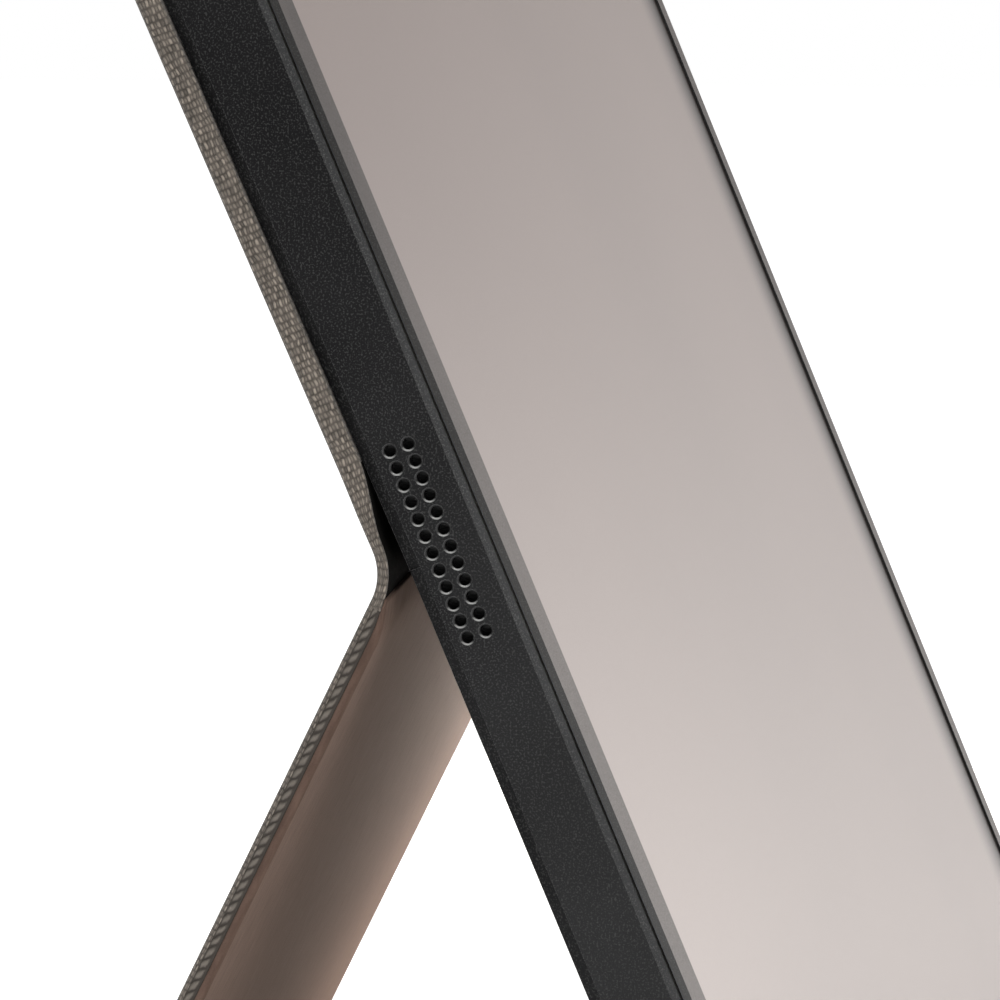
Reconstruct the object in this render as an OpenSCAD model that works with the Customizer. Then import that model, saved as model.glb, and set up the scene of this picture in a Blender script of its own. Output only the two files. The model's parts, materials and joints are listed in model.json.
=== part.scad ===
// Portable monitor with a fabric folding cover: the lower half of the back cover
// swings out as a stand leg, and the front lid folds down flat on the table.

/* [Stand pose] */
// Lean of the screen back from upright, degrees
tilt = 22.6; // [15:0.1:30]
// Lean of the stand leg from upright, degrees
leg_lean = 25.8; // [18:0.1:32]

/* [Case] */
// Width of the monitor case
case_w = 324; // [316:1:380]
// Height of the monitor case
case_h = 223; // [221:1:250]
// Thickness of the lower half of the case
case_t = 9.9; // [9.5:0.1:13]
// Corner radius of the case, seen from the front
case_r = 6; // [4:0.5:9]
// Thickness of the case walls
wall = 1.5; // [1.2:0.1:1.8]
// Slope of the upper half of the back, degrees
back_taper = 0.75; // [0:0.05:1]
// Depth of the chamfer along the rear edge
rear_chamfer_d = 1.3; // [0.6:0.1:1.6]
// Width of the chamfer along the rear edge
rear_chamfer_w = 0.7; // [0.4:0.1:1.2]
// Depth of the bevel on the front edge of the rear housing
lip_bevel_d = 0.75; // [0.4:0.05:1]
// Width of the bevel on the front edge of the rear housing
lip_bevel_w = 0.35; // [0.2:0.05:0.6]
// Height of the parting groove under the bezel
groove_h = 0.35; // [0.2:0.05:0.5]

/* [Bezel and screen] */
// Thickness of the bezel face
bezel_t = 0.8; // [0.6:0.05:1]
// Thickness of the bezel where it laps over the display
lip_t = 0.4; // [0.3:0.05:0.5]
// Width of the bezel beside the screen
bezel_side = 6.8; // [6:0.1:9]
// Width of the bezel above the screen
bezel_top = 7; // [6.5:0.1:10]
// Height of the bezel below the screen
bezel_bottom = 22; // [20:0.5:26]
// Thickness of the skirt that locates the bezel in the housing
skirt_t = 0.9; // [0.7:0.1:1]
// Depth of the bezel skirt
skirt_d = 2; // [1:0.1:2.5]
// How far the display cell runs under the bezel
cell_lap = 2.2; // [1.5:0.1:2.3]
// Thickness of the display cell
cell_t = 1.1; // [0.8:0.1:1.2]
// Thickness of the optical films
film_t = 0.45; // [0.3:0.05:0.5]
// Thickness of the light guide
guide_t = 0.7; // [0.5:0.1:0.8]
// Thickness of the reflector sheet
reflector_t = 0.2; // [0.1:0.05:0.2]
// Sheet thickness of the steel tray behind the display
tray_t = 0.4; // [0.3:0.05:0.45]
// Gap between the layers of the display
layer_gap = 0.03; // [0.02:0.01:0.05]

/* [Speaker grille] */
// Number of holes in a grille row
grille_count = 12; // [4:1:16]
// Distance between holes along a row
grille_pitch = 1.83; // [1.7:0.01:2.2]
// Distance between the two rows
grille_row_gap = 2; // [1.7:0.05:2.1]
// Distance of the rear row from the back of the case
grille_rear = 2.9; // [2.4:0.1:3.1]
// Diameter of a grille hole
grille_d = 1.2; // [0.8:0.05:1.4]
// Diameter of the countersink round a grille hole
grille_rim_d = 1.5; // [1.45:0.05:1.65]
// Depth of the countersink round a grille hole
grille_rim_h = 0.15; // [0.1:0.05:0.3]
// How far the middle of the grille is above the crease
grille_rise = 1.8; // [0:0.1:4]
// Length of a speaker box
speaker_l = 42; // [40:1:46]
// Width of a speaker box
speaker_w = 18; // [14:1:24]

/* [Ports and buttons] */
// Height of the upper data port above the bottom of the case
port_upper_z = 64; // [62:1:66]
// Height of the lower data port
port_lower_z = 50; // [48:1:52]
// Height of the video port
port_video_z = 35; // [33:1:37]
// Height of the audio jack
jack_z = 11; // [9:0.5:12]
// Bore of the audio jack
jack_d = 3.6; // [3.5:0.05:3.8]
// Depth of the audio jack bore
jack_depth = 14; // [12:1:16]
// How far the middle of the dimmer button is above the speaker
dimmer_rise = 8; // [7:0.5:9.5]
// Distance between the two brightness buttons
step_pitch = 10; // [9.5:0.5:11]
// Distance from the brighter button to the power button
power_pitch = 10.5; // [10.5:0.5:12]
// Length of the power button
power_l = 8; // [6:0.5:9.5]
// Length of a brightness button
step_l = 6.5; // [5:0.5:8]
// Width of a button
button_w = 2.2; // [1.8:0.1:2.4]
// How far a button stands out of the case
button_proud = 0.5; // [0.4:0.05:0.8]
// Travel of a button
button_travel = 0.35; // [0.2:0.05:0.35]
// Clearance round a button
button_gap = 0.12; // [0.1:0.02:0.2]

/* [Cover] */
// Thickness of the cover panels
cover_t = 2.5; // [2.3:0.1:3.5]
// Thickness of the woven outer skin
skin_t = 0.55; // [0.4:0.05:0.6]
// Thickness of the suede lining
lining_t = 0.45; // [0.3:0.05:0.5]
// How far the cover stands out past the sides of the case
cover_lap = 0.3; // [0:0.1:2]
// Gap between the cover and the back of the case
cover_gap = 0.1; // [0.05:0.05:0.5]
// Height of the crease above the bottom of the case
crease_z = 153; // [149:1:156]
// Half of the soft strip that bends at the crease
crease_half = 3.6; // [3.4:0.1:5]
// Radius of the outer face of the bend at the crease
crease_r = 6; // [4:0.1:6.2]
// Gap between the board and the skin round it
board_gap = 0.05; // [0.02:0.01:0.1]

/* [Crease hinges] */
// Distance of each hinge from the middle of the cover
hinge_x = 118; // [80:1:135]
// Length of each hinge
hinge_l = 32; // [26:1:40]
// Outside diameter of the hinge knuckles
knuckle_d = 1.4; // [1.3:0.05:1.45]
// Diameter of the hinge pins
hinge_pin_d = 0.8; // [0.6:0.05:0.9]
// Thickness of the hinge leaves
leaf_t = 0.4; // [0.3:0.05:0.5]
// How far each leaf reaches into its board
leaf_reach = 9; // [6:0.5:14]

/* [Dock bar and lid] */
// Thickness of the dock bar under the case
dock_t = 3.2; // [3:0.1:4.5]
// Gap between the dock bar and the case
dock_gap = 0.05; // [0.02:0.01:0.2]
// Diameter of the rubber feet
foot_d = 3; // [2.6:0.1:3.4]
// Length of each rubber foot
foot_l = 70; // [40:1:90]
// Distance of the feet behind the front of the dock bar
foot_back = 7.6; // [6.5:0.1:7.8]
// Diameter of the rod that carries the lid
rod_d = 1.6; // [1.4:0.1:2]
// Gap between the closed lid and the bezel
lid_gap = 0.3; // [0.2:0.05:0.6]
// Distance from the rod to the stiff part of the lid
lid_crease = 5; // [4.5:0.1:8]

/* [Hidden] */
$fn = 48;
eps = 0.01;
running_gap = 0.05;
black = [0.11, 0.11, 0.115];
taupe = [0.46, 0.42, 0.38];
suede = [0.44, 0.37, 0.33];
steel = [0.62, 0.63, 0.65];
board_green = [0.1, 0.3, 0.18];
cream = [0.86, 0.84, 0.78];

front_y = -case_t;
screen_y = front_y + lip_t + layer_gap;
film_y = screen_y + cell_t + layer_gap;
guide_y = film_y + film_t + layer_gap;
reflector_y = guide_y + guide_t + layer_gap;
tray_y = reflector_y + reflector_t + layer_gap;
tray_back = tray_y + tray_t;
window_w = case_w - 2 * bezel_side;
window_h = case_h - bezel_top - bezel_bottom;
window_z = bezel_bottom;
cell_w = window_w + 2 * cell_lap;
cell_h = window_h + 2 * cell_lap;
cell_z = window_z - cell_lap;
cell_gap = 0.1;
guide_inset = 1.2;
tray_wall = 0.6;
wall_top_y = front_y + bezel_t + groove_h;
inner_w = case_w - 2 * wall;
inner_h = case_h - 2 * wall;
inner_r = case_r - wall;

cover_w = case_w + 2 * cover_lap;
pocket_w = cover_w - 2 * skin_t;
axis_y = cover_gap + cover_t / 2;
open_angle = tilt + leg_lean;

// the bay behind the tray, where the boards, speakers and ports sit
bay_front = tray_back + 0.15;
bay_d = -wall - 0.1 - bay_front;
board_y = -2.4;
pcb_t = 0.8;

grille_z = crease_z + grille_rise;
speaker_gap = 1.1;
speaker_x = case_w / 2 - wall - speaker_gap - speaker_w;

// the dock foot touches the table, and so do the leg and the lid
foot_y = front_y + foot_back;
foot_z = -dock_gap - dock_t;
rest_z = foot_d / 2 + foot_y * sin(tilt) - foot_z * cos(tilt);
lid_axis_z = -dock_gap - dock_t;
// how far the rod lies behind the front, so that the lid lies flat both open and closed
lid_axis_in = (rest_z + lid_axis_z * cos(tilt) + case_t * sin(tilt) - cover_t - lid_gap) / (1 + sin(tilt));
lid_axis_y = front_y + lid_axis_in;
lid_mid = lid_axis_in + lid_gap + cover_t / 2;
lid_angle = 90 + tilt;
lid_len = case_h - lid_axis_z - lid_crease + cover_lap;

leg_axis_h = rest_z - axis_y * sin(tilt) + crease_z * cos(tilt);
leg_len = (leg_axis_h - cover_t / 2) / cos(leg_lean);

panel_len = (case_h - crease_z) / cos(back_taper) + cover_lap;
back_reach = axis_y * cos(tilt) + crease_z * sin(tilt) + leg_len * sin(leg_lean) + cover_t / 2;
front_reach = -(lid_axis_y * cos(tilt) + lid_axis_z * sin(tilt)) + lid_crease + lid_len;
rest_y = (front_reach - back_reach) / 2;

// ---- places -----------------------------------------------------------------

// the monitor's own frame: bottom rear edge at the origin, screen towards -Y, top towards +Z
module on_monitor() {
    translate([0, rest_y, rest_z]) rotate([-tilt, 0, 0]) children();
}

// the sloped upper half of the back, from the crease up, turned about the crease axis
module on_back() {
    on_monitor() translate([0, axis_y, crease_z]) rotate([-back_taper, 0, 0]) translate([0, -axis_y, 0]) children();
}

// the leg's frame: its origin is the crease axis, and it hangs towards -Z when folded flat
module on_leg(angle = open_angle) {
    on_monitor() translate([0, axis_y, crease_z]) rotate([angle, 0, 0]) children();
}

// the lid's frame: its origin is the rod, and it stands towards +Z over the screen when closed
module on_lid() {
    on_monitor() translate([0, lid_axis_y, lid_axis_z]) rotate([lid_angle, 0, 0]) children();
}

// ---- shapes used by several pieces -------------------------------------------

// a block centred on X, from y0 to y1 and z0 to z1
module block(w, y0, y1, z0, z1) {
    translate([-w / 2, y0, z0]) cube([w, y1 - y0, z1 - z0]);
}

// a rod along X
module rod_x(d, l, x = 0) {
    translate([x - l / 2, 0, 0]) rotate([0, 90, 0]) cylinder(d = d, h = l);
}

// a plate with rounded corners, standing in the XZ plane, from y0 to y1
module rounded_plate(w, h, r, y0, y1) {
    translate([0, y1, 0]) rotate([90, 0, 0]) linear_extrude(y1 - y0) {
        translate([-w / 2 + r, 0]) square([w - 2 * r, h]);
        translate([-w / 2, r]) square([w, h - 2 * r]);
        for (x = [-w / 2 + r, w / 2 - r], z = [r, h - r]) translate([x, z]) circle(r = r);
    }
}

// a slot with round ends along Z, cut or pushed along X from x0 to x1
module slot_x(w, l, x0, x1) {
    translate([x0, 0, 0]) {
        translate([0, -w / 2, -l / 2 + w / 2]) cube([x1 - x0, w, l - w]);
        for (z = [-l / 2 + w / 2, l / 2 - w / 2]) {
            translate([0, 0, z]) rotate([0, 90, 0]) cylinder(d = w, h = x1 - x0);
        }
    }
}

// what a chamfer takes off a square edge at x = 0 and y = 0, w wide and d deep, running past the edge
function chamfer(w, d) = [[w / 2, d / 2], [-w * 1.5, d / 2], [w / 2, -d * 1.5]];

// material taken off an edge that runs along Z at x = half, on the face y = 0
module edge_cut(half, d, w, z0, z1) {
    for (side = [0, 1]) mirror([side, 0, 0]) {
        translate([half, 0, z0]) linear_extrude(z1 - z0) polygon(chamfer(w, d));
    }
}

// material taken off an edge that runs along X at height z, above or below it
module end_cut(len, z, d, w, up) {
    translate([-len / 2, 0, z]) mirror([0, 0, up ? 0 : 1]) rotate([90, 0, 90]) {
        linear_extrude(len) polygon([for (p = chamfer(w, d)) [p[1], p[0]]]);
    }
}

// material taken off round a corner, so that the chamfer follows the radius
module corner_cut(half, z, r, d, w, up) {
    for (side = [0, 1]) mirror([side, 0, 0]) translate([half - r, 0, z]) {
        rotate([90, 0, 0]) rotate([0, 0, up ? 0 : -90]) mirror([0, 0, 1]) {
            rotate_extrude(angle = 90) polygon([for (p = chamfer(w, d)) [r + p[0], p[1]]]);
        }
    }
}

// ---- monitor case ---------------------------------------------------------------

// the side outline of the case: flat below the crease, sloped above it
module case_outline(inset, front) {
    rise = (case_h - crease_z) * tan(back_taper);
    polygon([
        [front, inset], [-inset, inset], [-inset, crease_z],
        [-inset + rise * (case_h - inset - crease_z) / (case_h - crease_z), case_h - inset],
        [front, case_h - inset]
    ]);
}

module case_body(w, r, inset, front) {
    intersection() {
        translate([-w / 2, 0, 0]) rotate([90, 0, 90]) linear_extrude(w) case_outline(inset, front);
        translate([0, 0, inset]) rounded_plate(w, case_h - 2 * inset, r, front - 1, case_t);
    }
}

module grille_cut() {
    for (k = [0 : grille_count - 1], row = [0, 1]) {
        z = grille_z + ((grille_count - 1) / 2 - k) * grille_pitch;
        y = -grille_rear - row * grille_row_gap;
        translate([case_w / 2 - wall - 1, y, z]) rotate([0, 90, 0]) {
            cylinder(d = grille_d, h = wall + 2, $fn = 24);
        }
        // the countersink, drawn on past the face at the same slope
        translate([case_w / 2 - grille_rim_h, y, z]) rotate([0, 90, 0]) {
            cylinder(d1 = grille_d, d2 = 2 * grille_rim_d - grille_d, h = 2 * grille_rim_h, $fn = 24);
        }
    }
}

screw_outer = case_w / 2 - 24;
screw_x = [-screw_outer, -screw_outer / 3, screw_outer / 3, screw_outer];
screw_z = 8;
screw_d = 1.9;
screw_l = 6;
screw_head_d = 3.6;
screw_head_h = 0.8;
boss_d = 4.4;
standoff_d = 3.4;
board_w = 116;
board_z0 = 26;
board_z1 = grille_z - speaker_l / 2 - 1.5;
board_x1 = case_w / 2 - wall - 0.4;
board_x0 = board_x1 - board_w;
board_hole = 3;
rib_h = 1.2;
rib_below_crease = 36;
rib_below_top = 56;
rib_z_low = crease_z - rib_below_crease;
rib_z_high = case_h - rib_below_top;
rib_low_x = -case_w / 2 + 12;
rib_low_l = board_x0 - 24.1 - rib_low_x;
rib_high_x = -case_w / 2 + 32;
rib_high_l = -2 * rib_high_x;
dimmer_z = grille_z + speaker_l / 2 + dimmer_rise;
brighter_z = dimmer_z + step_pitch;
power_z = brighter_z + power_pitch;
foam_t = 0.3;
port_y = -3.75;
port_set_back = 0.1;
shell_t = 0.25;
usb_w = 3.2;
usb_l = 8.94;
usb_depth = 7.3;
usb_tongue = 6.6;
video_w = 3.3;
video_l = 11.8;
video_depth = 7.5;
video_tongue = 9;
tongue_t = 0.7;
jack_y = -4.25;
button_y = -3.8;
light_pipe_z = power_z + power_l;
light_pipe_d = 1.2;
standoff_back = 20;
standoff_x = [board_x0 + board_hole, board_x1 - standoff_back];
standoff_z = [board_z0 + board_hole, board_z1 - board_hole];
thread_d = 1.3;

module rear_housing() {
    color(black) on_monitor() {
        difference() {
            case_body(case_w, case_r, 0, wall_top_y);
            case_body(inner_w, inner_r, wall, wall_top_y - 1);
            // chamfers round the lower half of the rear edge
            edge_cut(case_w / 2, rear_chamfer_d, rear_chamfer_w, case_r, crease_z);
            end_cut(case_w - 2 * case_r, 0, rear_chamfer_d, rear_chamfer_w, false);
            corner_cut(case_w / 2, case_r, case_r, rear_chamfer_d, rear_chamfer_w, false);
            // and round the sloped upper half
            slope_len = (case_h - crease_z) / cos(back_taper);
            translate([0, 0, crease_z]) rotate([-back_taper, 0, 0]) {
                edge_cut(case_w / 2, rear_chamfer_d, rear_chamfer_w, 0, slope_len - case_r);
                end_cut(case_w - 2 * case_r, slope_len, rear_chamfer_d, rear_chamfer_w, true);
                corner_cut(case_w / 2, slope_len - case_r, case_r, rear_chamfer_d, rear_chamfer_w, true);
            }
            // bevel on the front edge of the walls
            translate([0, wall_top_y, 0]) mirror([0, 1, 0]) {
                edge_cut(case_w / 2, lip_bevel_d, lip_bevel_w, case_r, case_h - case_r);
                end_cut(case_w - 2 * case_r, 0, lip_bevel_d, lip_bevel_w, false);
                end_cut(case_w - 2 * case_r, case_h, lip_bevel_d, lip_bevel_w, true);
                corner_cut(case_w / 2, case_r, case_r, lip_bevel_d, lip_bevel_w, false);
                corner_cut(case_w / 2, case_h - case_r, case_r, lip_bevel_d, lip_bevel_w, true);
            }
            for (side = [0, 1]) mirror([side, 0, 0]) grille_cut();
            port_cuts();
            button_cuts();
            for (x = screw_x) translate([x, 0, screw_z]) rotate([90, 0, 0]) {
                translate([0, 0, -1]) cylinder(d = screw_d + 0.3, h = wall + 2);
                translate([0, 0, -1]) cylinder(d = screw_head_d + 0.2, h = 1 + screw_head_h);
            }
        }
        // standoffs for the main board
        for (x = standoff_x, z = standoff_z) translate([x, board_y, z]) rotate([-90, 0, 0]) difference() {
            cylinder(d = standoff_d, h = -board_y - wall + eps);
            translate([0, 0, -1]) cylinder(d = thread_d, h = -board_y - wall + 1);
        }
        // ribs that carry the display tray
        rib_top = tray_back + foam_t + 0.05;
        rib_root = wall / 3;
        slope_rise = (rib_z_high - crease_z) * tan(back_taper);
        translate([rib_low_x, rib_top, rib_z_low]) cube([rib_low_l, -rib_top - wall + rib_root, rib_h]);
        translate([rib_high_x, rib_top, rib_z_high]) {
            cube([rib_high_l, -rib_top - wall + slope_rise + rib_root, rib_h]);
        }
    }
}

module port_cuts() {
    x0 = case_w / 2 - wall - 1;
    x1 = case_w / 2 + 1;
    for (z = [port_upper_z, port_lower_z]) {
        translate([0, port_y, z]) slot_x(usb_w - 2 * shell_t, usb_l - 2 * shell_t, x0, x1);
    }
    translate([0, port_y, port_video_z]) slot_x(video_w - 2 * shell_t, video_l - 2 * shell_t, x0, x1);
    translate([x0, jack_y, jack_z]) rotate([0, 90, 0]) cylinder(d = jack_d + 0.4, h = wall + 2);
    translate([x0, button_y, light_pipe_z]) rotate([0, 90, 0]) {
        cylinder(d = light_pipe_d + 2 * running_gap, h = wall + 2);
    }
}

module button_cuts() {
    x0 = case_w / 2 - wall - 1;
    x1 = case_w / 2 + 1;
    translate([0, button_y, power_z]) slot_x(button_w + 2 * button_gap, power_l + 2 * button_gap, x0, x1);
    for (z = [brighter_z, dimmer_z]) {
        translate([0, button_y, z]) slot_x(button_w + 2 * button_gap, step_l + 2 * button_gap, x0, x1);
    }
}

module front_bezel() {
    skirt_w = inner_w - 2 * running_gap;
    skirt_r = inner_r - running_gap;
    skirt_z = wall + running_gap;
    skirt_h = inner_h - 2 * running_gap;
    color(black) on_monitor() {
        difference() {
            rounded_plate(case_w, case_h, case_r, front_y, front_y + bezel_t);
            translate([0, 0, window_z]) rounded_plate(window_w, window_h, 1, front_y - 1, 0);
            // the display sits in a recess behind the lip
            block(cell_w + 2 * cell_gap, front_y + lip_t, 0, cell_z - cell_gap, cell_z + cell_h + cell_gap);
        }
        difference() {
            translate([0, 0, skirt_z]) {
                rounded_plate(skirt_w, skirt_h, skirt_r, front_y + bezel_t - eps, front_y + bezel_t + skirt_d);
            }
            translate([0, 0, skirt_z + skirt_t]) {
                rounded_plate(skirt_w - 2 * skirt_t, skirt_h - 2 * skirt_t, skirt_r - skirt_t, front_y - 1, 0);
            }
        }
        // bosses for the case screws
        for (x = screw_x) translate([x, front_y + bezel_t - eps, screw_z]) rotate([-90, 0, 0]) difference() {
            cylinder(d = boss_d, h = case_t - bezel_t - wall - 0.05);
            translate([0, 0, 1]) cylinder(d = screw_d + 0.1, h = case_t);
        }
    }
}

module lcd_cell() {
    color([0.75, 0.7, 0.68]) on_monitor() block(cell_w, screen_y, screen_y + cell_t, cell_z, cell_z + cell_h);
}

module display_layer(y, t, inset) {
    on_monitor() block(cell_w - 2 * inset, y, y + t, cell_z + inset, cell_z + cell_h - inset);
}

led_h = 1;

module optical_films() {
    color([0.92, 0.93, 0.95]) display_layer(film_y, film_t, guide_inset);
}

module light_guide() {
    color([0.85, 0.92, 0.95]) on_monitor() {
        z0 = cell_z + guide_inset + led_h + 0.1;
        block(cell_w - 2 * guide_inset, guide_y, guide_y + guide_t, z0, cell_z + cell_h - guide_inset);
    }
}

module led_strip() {
    color([0.95, 0.9, 0.6]) on_monitor() {
        block(cell_w - 4 * guide_inset, guide_y, guide_y + guide_t, cell_z + guide_inset, cell_z + guide_inset + led_h);
    }
}

module reflector_sheet() {
    color([0.96, 0.96, 0.96]) display_layer(reflector_y, reflector_t, guide_inset);
}

module panel_tray() {
    color(steel) on_monitor() {
        block(cell_w, tray_y, tray_back, cell_z, cell_z + cell_h);
        difference() {
            block(cell_w, film_y, tray_y + eps, cell_z, cell_z + cell_h);
            block(cell_w - 2 * tray_wall, film_y - 1, tray_back, cell_z + tray_wall, cell_z + cell_h - tray_wall);
        }
    }
}

driver_w = 190;
driver_h = 6;
driver_z0 = cell_z - 1.2 - driver_h;
driver_y = screen_y + 1.5;
driver_chip_x = [-60, 0, 60];

// the long narrow board that drives the display, in the chin below the tray
module driver_board() {
    color(board_green) on_monitor() {
        block(driver_w, driver_y, driver_y + pcb_t, driver_z0, driver_z0 + driver_h);
        for (x = driver_chip_x) translate([x - 6, driver_y + pcb_t - eps, driver_z0 + 1.5]) cube([12, 0.8, 3]);
    }
}

port_board_gap = 0.3;
board_chips = [[20, 26, 9], [48, 8, 6], [62, 32, 5]];

module main_board() {
    color(board_green) on_monitor() difference() {
        union() {
            translate([board_x0, board_y - pcb_t, board_z0]) cube([board_w, pcb_t, board_z1 - board_z0]);
            for (p = board_chips) {
                translate([board_x0 + p[0], board_y - pcb_t - 1, board_z0 + p[1]]) cube([p[2], 1 + eps, p[2]]);
            }
        }
        for (p = [[port_upper_z, usb_l], [port_lower_z, usb_l], [port_video_z, video_l]]) {
            slot_l = p[1] + 2 * port_board_gap;
            translate([board_x1 - 8, board_y - 2, p[0] - slot_l / 2]) cube([9, 3, slot_l]);
        }
        for (x = standoff_x, z = standoff_z) {
            translate([x, board_y - 2, z]) rotate([-90, 0, 0]) cylinder(d = 1.7, h = 3);
        }
    }
}

can_w = 18;
can_l = 30;
can_h = 1.3;
can_t = 0.3;
can_x = board_x0 + 74;
can_z = board_z0 + 8;

module shield_can() {
    color(steel) on_monitor() translate([can_x, board_y - pcb_t - can_h, can_z]) difference() {
        cube([can_w, can_h, can_l]);
        translate([can_t, can_t, can_t]) cube([can_w - 2 * can_t, can_h, can_l - 2 * can_t]);
    }
}

flex_t = 0.2;
flex_y = -wall - 0.05 - flex_t;
ribbon_w = 14;
ribbon_x = board_x0 + 15.9;

// runs up from the driver board, behind the tray, to the main board
module ribbon_cable() {
    y = bay_front;
    top = board_z0 + 10;
    color([0.75, 0.6, 0.35]) on_monitor() translate([ribbon_x, 0, 0]) {
        block(ribbon_w, y, y + flex_t, driver_z0, top);
        block(ribbon_w, driver_y + pcb_t + 0.02, y + flex_t, driver_z0, driver_z0 + 0.5);
        block(ribbon_w, y, board_y - pcb_t - 0.05, top - 1, top);
    }
}

speaker_wall = 0.6;

module speaker_box() {
    d = speaker_wall;
    color(black) translate([speaker_x, bay_front, grille_z - speaker_l / 2]) difference() {
        cube([speaker_w, bay_d, speaker_l]);
        translate([d, d, d]) cube([speaker_w, bay_d - 2 * d, speaker_l - 2 * d]);
    }
}

module speaker_box_left() {
    on_monitor() mirror([1, 0, 0]) speaker_box();
}

module speaker_box_right() {
    on_monitor() speaker_box();
}

driver_oval_w = 11;
driver_oval_l = 32;
driver_rim = 1.2;
cone_lap = 0.1;

// a long oval driver with its cone and magnet
module speaker_driver() {
    y1 = bay_front + bay_d - speaker_wall - 0.05;
    open_w = driver_oval_w - 2 * driver_rim;
    open_l = driver_oval_l - 2 * driver_rim;
    translate([speaker_x + speaker_w / 2 - 1, y1, grille_z]) rotate([90, 0, 0]) color([0.15, 0.15, 0.16]) {
        linear_extrude(0.8) difference() {
            oval(driver_oval_w, driver_oval_l);
            oval(open_w, open_l);
        }
        linear_extrude(0.4) oval(open_w + 2 * cone_lap, open_l + 2 * cone_lap);
        translate([0, 0, 0.3]) linear_extrude(0.8) oval(open_w / 2, open_l * 2 / 3);
    }
}

module oval(w, l) {
    square([w, l - w], center = true);
    for (y = [-1, 1]) translate([0, y * (l - w) / 2]) circle(d = w);
}

module speaker_driver_left() {
    on_monitor() mirror([1, 0, 0]) speaker_driver();
}

module speaker_driver_right() {
    on_monitor() speaker_driver();
}

// dust mesh between the grille and the speaker box
module speaker_mesh() {
    l = min(speaker_l - 4, grille_count * grille_pitch + 6);
    x0 = case_w / 2 - wall - 0.45;
    color([0.05, 0.05, 0.05]) translate([x0, bay_front + 0.1, grille_z - l / 2]) {
        cube([0.35, bay_d - 0.2, l]);
    }
}

module speaker_mesh_left() {
    on_monitor() mirror([1, 0, 0]) speaker_mesh();
}

module speaker_mesh_right() {
    on_monitor() speaker_mesh();
}

// flat leads from the speakers to the main board, on the inside of the back
module speaker_flex_left() {
    color([0.75, 0.6, 0.35]) on_monitor() {
        z = grille_z - speaker_l / 2 - 4;
        translate([-speaker_x - 8, flex_y, z]) cube([speaker_x + 8 + board_x0 + 0.5, flex_t, 3]);
        translate([-speaker_x - 8, flex_y, z]) cube([3, flex_t, 3.9]);
    }
}

module speaker_flex_right() {
    color([0.75, 0.6, 0.35]) on_monitor() {
        translate([speaker_x + 4, flex_y, board_z1 - 14]) {
            cube([3, flex_t, max(3, grille_z - speaker_l / 2 - board_z1 + 13.9)]);
        }
    }
}

// an oblong shell socket with a tongue, opening towards +X
module shell_port(z, w, l, depth, tongue_l) {
    x1 = case_w / 2 - wall - port_set_back;
    color(steel) on_monitor() translate([0, port_y, z]) {
        difference() {
            slot_x(w, l, x1 - depth, x1);
            slot_x(w - 2 * shell_t, l - 2 * shell_t, x1 - depth + shell_t, x1 + 1);
        }
        translate([x1 - depth, -tongue_t / 2, -tongue_l / 2]) cube([depth - 1, tongue_t, tongue_l]);
    }
}

module usb_c_port_upper() {
    shell_port(port_upper_z, usb_w, usb_l, usb_depth, usb_tongue);
}

module usb_c_port_lower() {
    shell_port(port_lower_z, usb_w, usb_l, usb_depth, usb_tongue);
}

module mini_hdmi_port() {
    shell_port(port_video_z, video_w, video_l, video_depth, video_tongue);
}

jack_back = 1;
jack_body_w = 5;
jack_body_h = 6;

module audio_jack() {
    x1 = case_w / 2 - wall - running_gap;
    l = jack_depth + jack_back;
    color([0.2, 0.2, 0.2]) on_monitor() translate([x1 - l, jack_y, jack_z]) difference() {
        translate([0, -jack_body_w / 2, -jack_body_h / 2]) cube([l, jack_body_w, jack_body_h]);
        translate([jack_back, 0, 0]) rotate([0, 90, 0]) cylinder(d = jack_d, h = l);
    }
}

switch_x = case_w / 2 - wall - 3.2;
switch_d = 1.4;
switch_tip = 0.44;
button_rest_gap = 0.15;
flange_t = 0.6;
flange_lap = 0.5;

module button_board() {
    color(board_green) on_monitor() translate([switch_x - 2.4, -5, dimmer_z - 5.5]) {
        cube([0.8, 3.2, light_pipe_z - dimmer_z + 8.5]);
    }
}

module tact_switches() {
    color([0.2, 0.2, 0.22]) on_monitor() for (z = [power_z, brighter_z, dimmer_z]) {
        translate([switch_x - 1.55, button_y - 1.2, z - 2]) cube([1.3, 2.4, 4]);
        translate([switch_x - 0.26, button_y, z]) rotate([0, 90, 0]) cylinder(d = switch_d, h = switch_tip + 0.26);
    }
}

// a button cap with the flange that keeps it in the case
module button(l) {
    x1 = case_w / 2 - wall - running_gap;
    slot_x(button_w, l, x1 - eps, case_w / 2 + button_proud);
    slot_x(button_w + 2 * flange_lap, l + 2 * flange_lap, x1 - flange_t, x1);
    // the foot stands a little way off the switch when the button is out
    foot_x = switch_x + switch_tip + button_travel + button_rest_gap;
    translate([foot_x, 0, 0]) rotate([0, 90, 0]) cylinder(d = switch_d, h = x1 - foot_x - flange_t + eps);
}

module power_button() {
    color([0.2, 0.2, 0.2]) on_monitor() translate([0, button_y, power_z]) button(power_l);
}

module brighter_button() {
    color([0.2, 0.2, 0.2]) on_monitor() translate([0, button_y, brighter_z]) button(step_l);
}

module dimmer_button() {
    color([0.2, 0.2, 0.2]) on_monitor() translate([0, button_y, dimmer_z]) button(step_l);
}

module status_light_pipe() {
    x0 = switch_x - 1.5;
    color([0.85, 0.87, 0.9]) on_monitor() translate([x0, button_y, light_pipe_z]) rotate([0, 90, 0]) {
        cylinder(d = light_pipe_d, h = case_w / 2 - x0);
    }
}

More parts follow.
